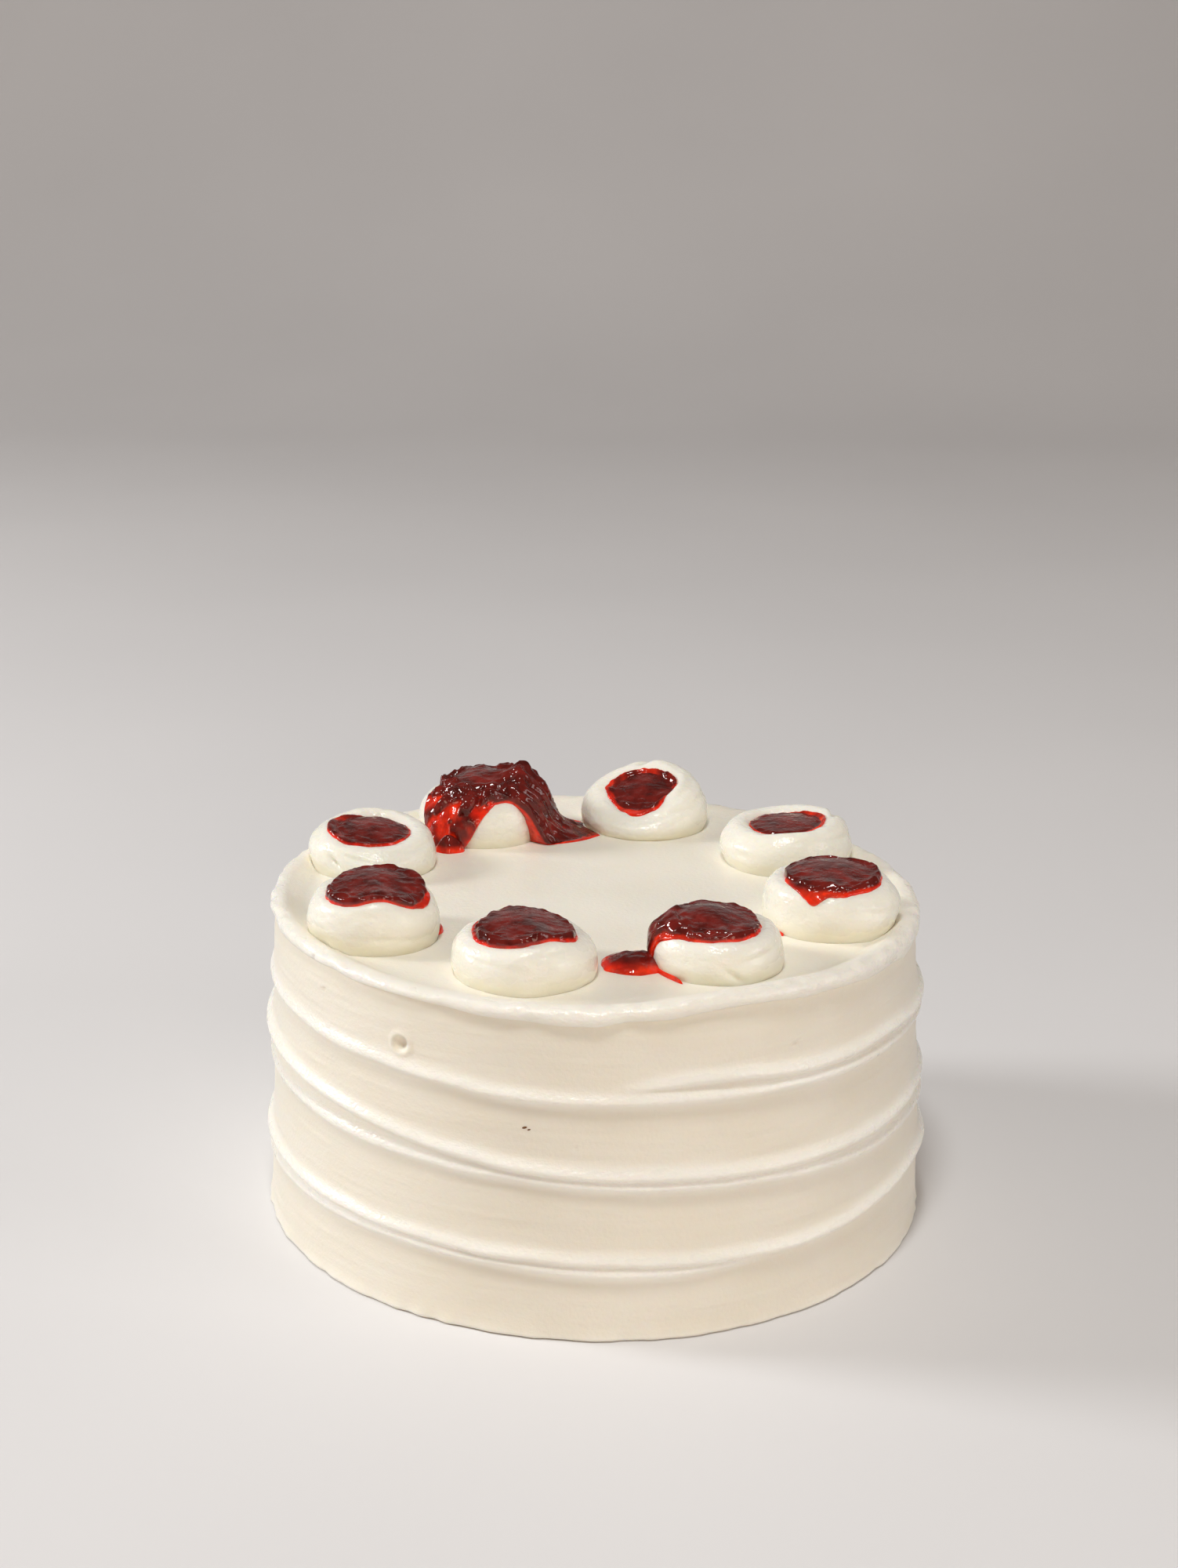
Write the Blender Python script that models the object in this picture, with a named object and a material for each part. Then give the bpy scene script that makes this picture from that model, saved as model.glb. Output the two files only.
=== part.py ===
"""A round cake coated in whipped cream, with eight dollops of cream round its rim, each hollowed
in the middle and filled with jam.

Metres, +Z up. The origin is the middle of the flat base. Angles round the cake run in degrees from
the front (-Y) towards the right (+X), and so do the angles round each dollop.
"""

from dataclasses import dataclass

import bmesh
import bpy
import numpy as np

# The coated cake. Its foot stands a little to the right of its top.
FOOT_RADIUS = 0.0756
SHOULDER_RADIUS = 0.0726
TOP_HEIGHT = 0.0713
FOOT_BEVEL = 0.0006
FOOT_FLARE = 0.0004
FOOT_SHIFT = 0.0007
FLAT_TOP_RADIUS = 0.0660
CREST_RADIUS = 0.0703
SIDE_STEPS = 64
SIDE_LEVELS = 33
TOP_RINGS = (0.0660, 0.0520, 0.0280)

# The scraped side: a ridge stands proud where two passes of the palette knife meet. It fades over
# FADE_ABOVE going up, and steps back over FADE_BELOW going down.
FADE_ABOVE = 0.0042
FADE_BELOW = 0.0014
# Each ridge winds down round the cake, as (angle, height, how far it stands proud).
RIDGES = (
    (
        (0, 0.0544, 0.0000),
        (12, 0.0566, 0.0010),
        (22, 0.0572, 0.0015),
        (36, 0.0554, 0.0015),
        (60, 0.0551, 0.0016),
        (83, 0.0535, 0.0018),
        (130, 0.0545, 0.0014),
        (200, 0.0555, 0.0013),
        (288, 0.0565, 0.0010),
        (330, 0.0551, 0.0013),
        (348, 0.0536, 0.0014),
        (379, 0.0533, 0.0015),
        (400, 0.0524, 0.0015),
        (432, 0.0518, 0.0014),
        (500, 0.0476, 0.0014),
        (570, 0.0455, 0.0014),
        (648, 0.0442, 0.0018),
        (676, 0.0424, 0.0016),
        (710, 0.0380, 0.0016),
        (739, 0.0362, 0.0016),
        (765, 0.0350, 0.0016),
        (797, 0.0352, 0.0015),
        (870, 0.0320, 0.0010),
        (960, 0.0290, 0.0000),
    ),
    (
        (-160, 0.0395, 0.0000),
        (-75, 0.0374, 0.0009),
        (-20, 0.0361, 0.0011),
        (0, 0.0349, 0.0012),
        (28, 0.0332, 0.0013),
        (45, 0.0316, 0.0012),
        (66, 0.0310, 0.0011),
        (140, 0.0250, 0.0011),
        (200, 0.0215, 0.0012),
        (270, 0.0186, 0.0015),
        (288, 0.0188, 0.0013),
        (305, 0.0193, 0.0014),
        (340, 0.0188, 0.0015),
        (379, 0.0174, 0.0015),
        (395, 0.0168, 0.0015),
        (412, 0.0178, 0.0016),
        (431, 0.0196, 0.0018),
        (446, 0.0184, 0.0018),
        (500, 0.0166, 0.0012),
        (600, 0.0145, 0.0000),
    ),
    (
        (-120, 0.0150, 0.0000),
        (-72, 0.0156, 0.0009),
        (-45, 0.0170, 0.0010),
        (-15, 0.0164, 0.0012),
        (10, 0.0152, 0.0013),
        (20, 0.0155, 0.0010),
        (36, 0.0163, 0.0000),
    ),
)

# The rim: the lip of cream pushed up over the top edge, as (angle, height of its lower edge,
# height of its crest, how far it bulges past the side).
RIM = (
    (-150, 0.0700, 0.0730, 0.0012),
    (-110, 0.0694, 0.0734, 0.0014),
    (-70, 0.0692, 0.0736, 0.0015),
    (-35, 0.0700, 0.0732, 0.0013),
    (0, 0.0702, 0.0733, 0.0012),
    (24, 0.0722, 0.0752, 0.0014),
    (45, 0.0708, 0.0742, 0.0013),
    (80, 0.0690, 0.0730, 0.0009),
    (130, 0.0690, 0.0727, 0.0007),
    (180, 0.0698, 0.0725, 0.0008),
)
# Its section from the side, over the crest, to the flat top: each step is (share of the bulge,
# radius as a share of the way from the side in to the flat top, share of the height to the crest).
RIM_SECTION = (
    (0.15, 0.00, 0.02),
    (0.95, 0.00, 0.22),
    (1.00, 0.02, 0.52),
    (0.30, 0.08, 0.88),
    (0.00, 0.30, 1.00),
    (0.00, 0.62, 0.55),
)

# Cream dollops and jam. GAP keeps each solid just clear of the one that it rests on.
GAP = 0.0003
WELL_ANGLE = -80
BASE_ANGLE = 135
DOLLOP_ANGLES = (135, 112, 88, 64, 40, 18, -4, -28, -54, -80)
WELL_SHARE = 0.20
JAM_EDGE = 0.0004


@dataclass
class Dollop:
    """One hollowed dollop of cream and its jam.

    ring is the radius of the crest over the whole radius, and crest lists (angle round, height
    there as a share of height). jam_edge lists (angle round, angle over the rim) of the line where
    the jam ends: below 0 is in the well, 0 is the crest, and 135 is the foot. The jam fills the
    well to jam_level of the crest. bumps raise it, as (x, y from the centre, width, height), and
    spread lists (angle round, how far it spreads past the foot).
    """

    centre: tuple
    radius: float
    height: float
    ring: float
    jam_edge: tuple
    jam_level: float = 1.0
    jam_depth: float = 0.0008
    bumps: tuple = ()
    crest: tuple = ((0, 1.0), (180, 1.0))
    lobes: tuple = ((60, 0.02), (150, -0.02), (240, 0.02), (330, -0.015))
    spread: tuple = ()
    keeps_off: tuple = ()
    turn_steps: int = 20
    jam_rings: int = 5


DOLLOPS = {
    "front_left": Dollop(
        centre=(-0.0483, -0.0275),
        radius=0.0141,
        height=0.0106,
        ring=0.72,
        crest=((-90, 1.0), (-30, 0.96), (15, 1.06), (50, 0.94), (90, 0.98)),
        jam_edge=((-90, -8), (-50, 18), (-15, 16), (12, 4), (38, 20), (62, 40), (90, 22), (180, -10)),
        bumps=((0.0, 0.0025, 0.0085, 0.0016),),
    ),
    "front": Dollop(
        centre=(-0.0149, -0.0473),
        radius=0.0153,
        height=0.0092,
        ring=0.72,
        crest=((-90, 0.98), (-20, 0.98), (28, 1.08), (65, 0.96), (180, 1.0)),
        jam_edge=((-82, 0), (-40, 14), (-5, 8), (28, 0), (58, 14), (85, -2), (180, -12)),
        bumps=((-0.0015, 0.001, 0.009, 0.0016),),
    ),
    "front_right": Dollop(
        centre=(0.0260, -0.0413),
        radius=0.0140,
        height=0.0088,
        ring=0.72,
        jam_edge=(
            (-140, -10),
            (-112, 10),
            (-80, 54),
            (-45, 26),
            (-10, 14),
            (30, 8),
            (80, -16),
            (150, -14),
        ),
        bumps=((-0.0030, 0.0015, 0.0075, 0.0022),),
    ),
    "right": Dollop(
        centre=(0.0522, -0.0147),
        radius=0.0150,
        height=0.0106,
        ring=0.72,
        jam_edge=((-80, -2), (-45, 18), (-16, 28), (14, 14), (45, 12), (80, 2), (180, -12)),
        bumps=((0.0005, 0.001, 0.0085, 0.0014),),
    ),
    "back_right": Dollop(
        centre=(0.0450, 0.0280),
        radius=0.0152,
        height=0.0098,
        ring=0.72,
        crest=((-45, 0.92), (30, 1.0), (110, 1.08), (180, 1.0)),
        jam_edge=((-60, -34), (0, -40), (90, -24), (180, -36)),
        jam_level=0.88,
        bumps=((0.0, 0.0, 0.006, 0.0004),),
        lobes=((30, -0.02), (105, 0.06), (180, -0.02), (270, 0.0)),
    ),
    "back": Dollop(
        centre=(0.0118, 0.0540),
        radius=0.0155,
        height=0.0098,
        ring=0.66,
        crest=((-15, 0.54), (75, 1.0), (165, 1.36), (255, 0.90)),
        jam_edge=((-15, 4), (60, -18), (165, -34), (260, -6)),
        jam_level=0.88,
        bumps=((0.0, 0.0, 0.006, 0.0004),),
    ),
    "back_left": Dollop(
        centre=(-0.0283, 0.0455),
        radius=0.0150,
        height=0.0112,
        ring=0.68,
        jam_edge=(
            (-150, 0),
            (-100, 4),
            (-76, 30),
            (-55, 96),
            (-30, 130),
            (-12, 116),
            (4, 58),
            (20, 28),
            (36, 48),
            (53, 112),
            (75, 130),
            (110, 130),
            (130, 84),
            (152, 30),
        ),
        jam_depth=0.0014,
        crest=((-90, 0.92), (0, 1.0), (90, 1.0), (180, 1.0)),
        bumps=((0.0, 0.002, 0.009, 0.0024), (0.0112, 0.0, 0.0040, 0.0046)),
        spread=(
            (-60, 0.0),
            (-35, 0.0026),
            (-10, 0.0),
            (40, 0.0),
            (62, 0.0060),
            (80, 0.0130),
            (92, 0.0165),
            (105, 0.0120),
            (128, 0.0040),
            (150, 0.0),
        ),
        keeps_off=("back",),
        turn_steps=36,
        jam_rings=9,
    ),
    "left": Dollop(
        centre=(-0.0526, 0.0199),
        radius=0.0148,
        height=0.0092,
        ring=0.70,
        crest=((0, 0.78), (90, 0.90), (180, 1.10), (270, 1.02)),
        jam_edge=((-80, 6), (0, -4), (90, -22), (180, -42)),
        jam_level=0.92,
        bumps=((0.0, 0.0, 0.006, 0.0006),),
    ),
}

# Jam that ran off on to the flat top, as low blobs.
SPILL_STEPS = 16
SPILL_SHARES = (0.35, 0.7, 1.0)


@dataclass
class Spill:
    """A low blob of jam, and how close it comes to the dollop beside it, as a share of its radius."""

    middle: tuple
    reach: tuple
    height: float
    beside: str
    closeness: float


SPILLS = {
    "jam_spill": Spill((0.0092, -0.0430), (0.0072, 0.0068), 0.0026, "front_right", 1.02),
    "jam_spot": Spill((-0.0350, -0.0243), (0.0017, 0.0034), 0.0012, "front_left", 0.95),
}

# Colour and roughness
CREAM = ((0.93, 0.89, 0.78), 0.5)
JAM = ((0.24, 0.015, 0.018), 0.15)


def clear_scene():
    for item in list(bpy.data.objects):
        bpy.data.objects.remove(item)


def finish(name, colour, roughness):
    """A plain shader of one colour."""
    made = bpy.data.materials.new(name)
    made.use_nodes = True
    shader = made.node_tree.nodes["Principled BSDF"]
    shader.inputs["Base Color"].default_value = (*colour, 1.0)
    shader.inputs["Roughness"].default_value = roughness
    shader.inputs["Metallic"].default_value = 0.0
    return made


def curve_through(points, at, closed=False):
    """Values at the angles at of a smooth cubic through points, which are (angle, value, ...).

    A closed curve repeats every full turn.
    """
    table = np.array(points, float)
    at = np.asarray(at, float)
    if closed:
        turn = np.zeros(table.shape[1])
        turn[0] = 360
        at = table[0, 0] + (at - table[0, 0]) % 360
        table = np.concatenate([table - turn, table, table + turn])
    angles, values = table[:, 0], table[:, 1:]
    slopes = np.gradient(values, angles, axis=0)
    k = np.clip(np.searchsorted(angles, at) - 1, 0, len(angles) - 2)
    span = (angles[k + 1] - angles[k])[..., None]
    t = (at[..., None] - angles[k][..., None]) / span
    return (
        (2 * t**3 - 3 * t**2 + 1) * values[k]
        + (t**3 - 2 * t**2 + t) * span * slopes[k]
        + (3 * t**2 - 2 * t**3) * values[k + 1]
        + (t**3 - t**2) * span * slopes[k + 1]
    )


def around(points, angles):
    """The one value of a closed curve at these angles."""
    return curve_through(points, angles, closed=True)[..., 0]


def ease(value, low, high):
    """0 below low and 1 above high, with a smooth rise between."""
    t = np.clip((value - low) / (high - low), 0, 1)
    return t * t * (3 - 2 * t)


def turn_angles(steps):
    return np.arange(steps) * 360 / steps


def direction(angles):
    """Unit steps away from the axis, for angles counted from the front."""
    turn = np.radians(angles)
    return np.stack([np.sin(turn), -np.cos(turn)], axis=-1)


def at_height(plan, heights):
    """Points over the plan points (x, y), at these heights."""
    return np.concatenate([plan, np.broadcast_to(heights, plan.shape[:-1])[..., None]], axis=-1)


def solid(name, start, rings, end, look):
    """A closed solid whose skin runs from the point start, through the rings, to the point end.

    The object stands at start.
    """
    mesh = bpy.data.meshes.new(name)
    bm = bmesh.new()
    loops = [[bm.verts.new(point - start) for point in ring] for ring in rings]
    for low, high in zip(loops, loops[1:]):
        for i, corner in enumerate(low):
            bm.faces.new((low[i - 1], corner, high[i], high[i - 1]))
    for pole, loop in ((start, loops[0]), (end, loops[-1])):
        tip = bm.verts.new(np.subtract(pole, start))
        for i, corner in enumerate(loop):
            bm.faces.new((loop[i - 1], corner, tip))
    bmesh.ops.recalc_face_normals(bm, faces=bm.faces)
    bmesh.ops.triangulate(bm, faces=bm.faces)
    bm.to_mesh(mesh)
    bm.free()
    mesh.shade_smooth()
    mesh.materials.append(finish(f"{name}_finish", *look))
    made = bpy.data.objects.new(name, mesh)
    made.location = start
    bpy.context.scene.collection.objects.link(made)
    return made


def side_radius(angles, heights):
    """Radius of the scraped side: a gentle taper, with the tallest ridge near each point on top."""
    taper = FOOT_RADIUS + (SHOULDER_RADIUS - FOOT_RADIUS) * heights / TOP_HEIGHT
    flare = FOOT_FLARE * np.exp(-((heights / 0.002) ** 2))
    proud = np.zeros_like(taper)
    for ridge in RIDGES:
        first, last = ridge[0][0], ridge[-1][0]
        for turn in range(-1, 4):
            wound = angles + 360 * turn
            crest, reach = np.moveaxis(curve_through(ridge, np.clip(wound, first, last)), -1, 0)
            off = heights - crest
            fade = np.where(off > 0, FADE_ABOVE, FADE_BELOW)
            here = (wound >= first) & (wound <= last)
            proud = np.maximum(proud, here * reach * np.exp(-((off / fade) ** 2)))
    return taper + flare + proud


def side_ring(angles, radius, heights):
    """A ring of the side's points, moved sideways with the lean of the cake."""
    plan = direction(angles) * radius[:, None]
    plan[:, 0] += FOOT_SHIFT * (1 - ease(heights, 0.02, 0.07))
    return at_height(plan, heights)


def lip_rise(plan):
    """How far the inner slope of the rim stands above the flat top at plan points (x, y)."""
    out = np.linalg.norm(plan, axis=-1)
    angles = np.degrees(np.arctan2(plan[..., 0], -plan[..., 1]))
    crest = curve_through(RIM, angles, closed=True)[..., 1]
    return (crest - TOP_HEIGHT) * ease(out, FLAT_TOP_RADIUS, CREST_RADIUS)


def iced_cake():
    """The coated cake: flat base, scraped side, rolled rim and flat top."""
    angles = turn_angles(SIDE_STEPS)
    low_edge, crest, bulge = np.moveaxis(curve_through(RIM, angles, closed=True), -1, 0)
    base = np.zeros(SIDE_STEPS)
    rings = [side_ring(angles, side_radius(angles, base) - FOOT_BEVEL, base)]
    for level in range(SIDE_LEVELS):
        heights = FOOT_BEVEL + (low_edge - FOOT_BEVEL) * level / (SIDE_LEVELS - 1)
        rings.append(side_ring(angles, side_radius(angles, heights), heights))
    side = side_radius(angles, low_edge)
    for swell, inwards, rise in RIM_SECTION:
        radius = side + bulge * swell - (side - FLAT_TOP_RADIUS) * inwards
        bottom = TOP_HEIGHT if inwards > RIM_SECTION[-2][1] else low_edge
        rings.append(side_ring(angles, radius, bottom + (crest - bottom) * rise))
    for radius in TOP_RINGS:
        rings.append(at_height(direction(angles) * radius, TOP_HEIGHT))
    return solid("iced_cake", (0, 0, 0), rings, (0, 0, TOP_HEIGHT), CREAM)


def dollop_point(dollop, angles, over):
    """Points and outward normals on a dollop's skin.

    The skin is a ring with an oval section: angles run round it, and over runs over its section
    from the well (WELL_ANGLE), through the crest (0), to the foot (BASE_ANGLE).
    """
    over = np.radians(np.broadcast_to(over, angles.shape))
    middle = dollop.radius * dollop.ring
    wide = dollop.radius - middle
    base = np.cos(np.radians(BASE_ANGLE))
    tall = dollop.height * around(dollop.crest, angles) / (1 - base)
    out = (middle + wide * np.sin(over)) * (1 + around(dollop.lobes, angles))
    up = tall * (np.cos(over) - base)
    away = direction(angles)
    plan = np.array(dollop.centre) + away * out[..., None]
    low = TOP_HEIGHT + GAP + lip_rise(plan) * np.clip(1 - up / dollop.height, 0, 1)
    points = at_height(plan, low + up)
    normal = at_height(away * (np.sin(over) / wide)[..., None], np.cos(over) / tall)
    return points, normal / np.linalg.norm(normal, axis=-1, keepdims=True)


def well_floor(dollop, angles):
    """The middle of the floor of a dollop's well."""
    return dollop_point(dollop, angles, WELL_ANGLE)[0].mean(axis=0)


def cream_dollop(name, dollop):
    """A dollop of cream, hollowed in the middle."""
    angles = turn_angles(dollop.turn_steps)
    rings = [dollop_point(dollop, angles, over)[0] for over in DOLLOP_ANGLES]
    under = (*dollop.centre, TOP_HEIGHT + GAP)
    return solid(name, under, rings, well_floor(dollop, angles), CREAM)


def jam_seat(dollop, angles, share):
    """Points and normals on the cream under the jam, a share of the way from the well's middle.

    Past the widest part of the dollop the jam hangs straight down to the foot. The third result is
    the angle over the rim.
    """
    if share <= WELL_SHARE:
        middle = well_floor(dollop, angles)
        points, _ = dollop_point(dollop, angles, WELL_ANGLE)
        up = np.broadcast_to((0.0, 0.0, 1.0), points.shape)
        over = np.full(angles.shape, float(WELL_ANGLE))
        return middle + (points - middle) * share / WELL_SHARE, up, over
    reach = (share - WELL_SHARE) / (1 - WELL_SHARE)
    over = WELL_ANGLE + (around(dollop.jam_edge, angles) - WELL_ANGLE) * reach
    points, normal = dollop_point(dollop, angles, np.minimum(over, 90))
    low = TOP_HEIGHT + lip_rise(points[..., :2])
    fall = np.clip((over - 90) / (BASE_ANGLE - 90), 0, 1)
    points[..., 2] += (low - points[..., 2]) * fall
    return points, normal, over


def keep_off(points, centre, radius):
    """Points moved sideways until they are radius away from the upright axis at centre."""
    apart = points[..., :2] - centre
    far = np.linalg.norm(apart, axis=-1, keepdims=True)
    plan = np.where(far < radius, centre + apart / far * radius, points[..., :2])
    return at_height(plan, points[..., 2])


def jam_top(dollop, angles, share):
    """Points on the jam: level over the well with its bumps, and a thin layer down the outside.

    In the well the layer rises straight up, so that its rings don't cross one another.
    """
    seat, normal, over = jam_seat(dollop, angles, share)
    sideways = normal[..., :2] * (over > 0)[..., None]
    normal = at_height(sideways, np.maximum(normal[..., 2], 0.0))
    depth = JAM_EDGE + dollop.jam_depth * np.sqrt(1 - share**4)
    points = seat + normal * (GAP + depth)
    out = np.linalg.norm(points[..., :2] - dollop.centre, axis=-1) / (dollop.radius * dollop.ring)
    crest = dollop.height * (1 + (around(dollop.crest, angles) - 1) * np.minimum(out, 1))
    lift = np.maximum(TOP_HEIGHT + crest * dollop.jam_level - points[..., 2], 0)
    points[..., 2] += lift * (1 - ease(over, -20, 25)) * (1 - share**6)
    for x, y, width, height in dollop.bumps:
        off = (points[..., :2] - dollop.centre - (x, y)) / width
        bump = height * np.exp(-(off**2).sum(axis=-1))
        points[..., 2] += bump * (1 - ease(over, 50, 110)) * (1 - share**6)
    if dollop.spread:
        reach = np.maximum(around(dollop.spread, angles), 0)
        run = np.clip((share - 0.4) / 0.6, 0, 1) ** 2.2
        points[..., :2] += direction(angles) * (reach * run)[..., None]
    for other in dollop.keeps_off:
        points = keep_off(points, DOLLOPS[other].centre, DOLLOPS[other].radius * 1.03 + GAP)
    low = TOP_HEIGHT + GAP + JAM_EDGE + lip_rise(points[..., :2])
    points[..., 2] = np.maximum(points[..., 2], low)
    return points


def jam_filling(name, dollop):
    """The jam in a dollop's well and over its rim, resting on the cream."""
    angles = turn_angles(dollop.turn_steps)
    shares = np.linspace(WELL_SHARE, 1, dollop.jam_rings)
    clear = np.array((0, 0, GAP))
    rings = []
    for share in shares:
        seat, normal, _ = jam_seat(dollop, angles, share)
        under = seat + normal * GAP
        under[..., 2] = np.maximum(under[..., 2], TOP_HEIGHT + GAP + lip_rise(under[..., :2]))
        rings.append(under)
    rings += [jam_top(dollop, angles, share) for share in shares[::-1]]
    middle = well_floor(dollop, angles) + clear
    top = jam_top(dollop, angles, 0.0).mean(axis=0)
    return solid(name, middle, rings, top, JAM)


def jam_spill(name, spill):
    """A low blob of jam on the flat top, held off by the dollop beside it."""
    dollop = DOLLOPS[spill.beside]
    angles = turn_angles(SPILL_STEPS)
    low = TOP_HEIGHT + GAP
    under = []
    for share in SPILL_SHARES:
        plan = np.array(spill.middle) + direction(angles) * spill.reach * share
        clear = dollop.radius * spill.closeness + GAP
        under.append(keep_off(at_height(plan, low), dollop.centre, clear))
    over = []
    for share, ring in zip(SPILL_SHARES, under):
        over.append(ring + (0, 0, JAM_EDGE + spill.height * (1 - share**2)))
    peak = (*spill.middle, low + JAM_EDGE + spill.height)
    return solid(name, (*spill.middle, low), under + over[::-1], peak, JAM)


def build():
    clear_scene()
    iced_cake()
    for place, dollop in DOLLOPS.items():
        cream_dollop(f"cream_{place}", dollop)
        jam_filling(f"jam_{place}", dollop)
    for name, spill in SPILLS.items():
        jam_spill(name, spill)


build()
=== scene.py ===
"""The looks of a round cake coated in whipped cream, with dollops of cream and jam round its rim.

Metres, +Z up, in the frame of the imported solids: the origin is the middle of the flat base and the
front is -Y. Angles round the cake, and round each dollop, run in degrees from the front towards
the right (+X).
"""

from dataclasses import dataclass

import bpy
import numpy as np
from mathutils import Matrix, Vector


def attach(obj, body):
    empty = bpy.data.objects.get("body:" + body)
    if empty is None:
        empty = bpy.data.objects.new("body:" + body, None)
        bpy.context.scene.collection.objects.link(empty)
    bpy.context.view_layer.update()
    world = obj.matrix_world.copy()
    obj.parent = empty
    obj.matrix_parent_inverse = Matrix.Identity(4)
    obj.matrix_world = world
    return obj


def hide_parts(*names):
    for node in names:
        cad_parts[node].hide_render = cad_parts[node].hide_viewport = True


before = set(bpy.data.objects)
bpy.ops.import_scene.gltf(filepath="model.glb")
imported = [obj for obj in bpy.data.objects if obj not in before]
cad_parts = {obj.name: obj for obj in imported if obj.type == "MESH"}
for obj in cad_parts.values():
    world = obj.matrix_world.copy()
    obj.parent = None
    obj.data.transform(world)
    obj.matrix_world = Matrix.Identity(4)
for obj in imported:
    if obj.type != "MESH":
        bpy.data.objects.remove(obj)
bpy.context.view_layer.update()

# The coat. Whipped cream is spread over the sponge and scraped round with a palette knife, which
# leaves a low ridge where each pass ends. The cream pushed up past the top edge is folded over
# inwards, and makes a rolled lip round the flat top.
FOOT_RADIUS = 0.0756
SHOULDER_RADIUS = 0.0726
TOP_HEIGHT = 0.0713
FOOT_BEVEL = 0.0006
FOOT_FLARE = 0.0004
FLARE_HEIGHT = 0.002
FLARE_RAGGEDNESS = 0.8
FOOT_SHIFT = 0.0007
FLAT_TOP_RADIUS = 0.0660
CREST_RADIUS = 0.0703
INNERMOST_RING = 0.002

# A ridge's section: a long ramp above the crest, a narrow bell on the crest itself, which takes
# BURR_SHARE of the height, and a steep step below it.
PROUD = 1.03
RAMP = 0.0045
BURR = 0.0015
BURR_SHARE = 0.74
STEP = 0.0012

# How far the soft cream strays from its form: the crests up and down, the lip's edge and bulge, the
# side in broad swells, fine lines and beads on its crests, the lip in lumps and beads, and the flat
# top in the knife's arcs and in swells.
CREST_WANDER = 0.00018
LIP_WANDER = 0.0003
SIDE_SWELL = 0.00010
SIDE_LINES = 0.00006
CREST_BEADS = 0.00006
LIP_LUMPS = 0.00022
LIP_BEADS = 0.00008
TOP_ARCS = 0.00012
TOP_SWELL = 0.00014

# Where the cream is moist, from 0 to 1: in a band just above each crest, low at the foot, over the
# lip from its bulge inwards, and a little on the flat top. Moist cream is glossier, and its colour
# is whiter there as a painted highlight.
BAND_RISE = 0.0007
BAND_WIDTH = 0.0016
MOIST_LIT_FOOT = 0.5
MOIST_LIT_FOOT_HEIGHT = 0.0012
MOIST_LIT_TOP = 0.35
MOIST_LIT_LIP_STEP = 2.2
MOIST_LIT_LIP_OUTWARDS = 1.3
MOIST_LIT_LIP_INWARDS = 3.0

# The mesh, whose steps round the cake are closer at the front than at the back.
FRONT_CROWDING = 26
COAT_STEPS = 480
SIDE_LEVELS = 165
LIP_LEVELS = 16
TOP_LEVELS = 18

# Each ridge winds down round the cake, as (angle, height, how far it stands proud).
RIDGES = (
    (
        (0, 0.0544, 0.0000),
        (12, 0.0566, 0.0010),
        (22, 0.0572, 0.0015),
        (36, 0.0554, 0.0015),
        (60, 0.0551, 0.0016),
        (83, 0.0535, 0.0018),
        (130, 0.0545, 0.0014),
        (200, 0.0555, 0.0013),
        (288, 0.0565, 0.0010),
        (330, 0.0551, 0.0013),
        (348, 0.0536, 0.0014),
        (379, 0.0533, 0.0015),
        (400, 0.0524, 0.0015),
        (432, 0.0518, 0.0014),
        (500, 0.0476, 0.0014),
        (570, 0.0455, 0.0014),
        (648, 0.0442, 0.0018),
        (676, 0.0424, 0.0016),
        (710, 0.0380, 0.0016),
        (739, 0.0362, 0.0016),
        (765, 0.0350, 0.0016),
        (797, 0.0352, 0.0015),
        (870, 0.0320, 0.0010),
        (960, 0.0290, 0.0000),
    ),
    (
        (-160, 0.0395, 0.0000),
        (-75, 0.0374, 0.0009),
        (-20, 0.0361, 0.0011),
        (0, 0.0349, 0.0012),
        (28, 0.0332, 0.0013),
        (45, 0.0316, 0.0012),
        (66, 0.0310, 0.0011),
        (140, 0.0250, 0.0011),
        (200, 0.0215, 0.0012),
        (270, 0.0186, 0.0015),
        (288, 0.0188, 0.0013),
        (305, 0.0193, 0.0014),
        (340, 0.0188, 0.0015),
        (379, 0.0174, 0.0015),
        (395, 0.0168, 0.0015),
        (412, 0.0178, 0.0016),
        (431, 0.0196, 0.0018),
        (446, 0.0184, 0.0018),
        (500, 0.0166, 0.0012),
        (600, 0.0145, 0.0000),
    ),
    (
        (-120, 0.0150, 0.0000),
        (-72, 0.0156, 0.0009),
        (-45, 0.0170, 0.0010),
        (-15, 0.0164, 0.0012),
        (10, 0.0152, 0.0013),
        (20, 0.0155, 0.0010),
        (36, 0.0163, 0.0000),
    ),
)

# Marks left in the side, as (angle, height, radius, depth): an open air bubble and small pits.
DENTS = (
    (-33, 0.0603, 0.00145, 0.00115),
    (-52, 0.0655, 0.00055, 0.00040),
    (-54.5, 0.0718, 0.00060, 0.00045),
    (-50, 0.0575, 0.00045, 0.00030),
    (22, 0.0606, 0.00040, 0.00025),
    (34.5, 0.0612, 0.00050, 0.00035),
    (-3, 0.0432, 0.00045, 0.00020),
    (9, 0.0437, 0.00040, 0.00020),
)

# The lip, as (angle, height of its lower edge, height of its crest, how far it bulges out).
RIM = (
    (-150, 0.0700, 0.0730, 0.0012),
    (-110, 0.0704, 0.0734, 0.0011),
    (-70, 0.0711, 0.0737, 0.0009),
    (-40, 0.0713, 0.0734, 0.0010),
    (-18, 0.0706, 0.0732, 0.0012),
    (0, 0.0702, 0.0733, 0.0012),
    (24, 0.0722, 0.0752, 0.0014),
    (45, 0.0708, 0.0742, 0.0013),
    (80, 0.0690, 0.0730, 0.0009),
    (130, 0.0690, 0.0727, 0.0007),
    (180, 0.0698, 0.0725, 0.0008),
)
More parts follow.
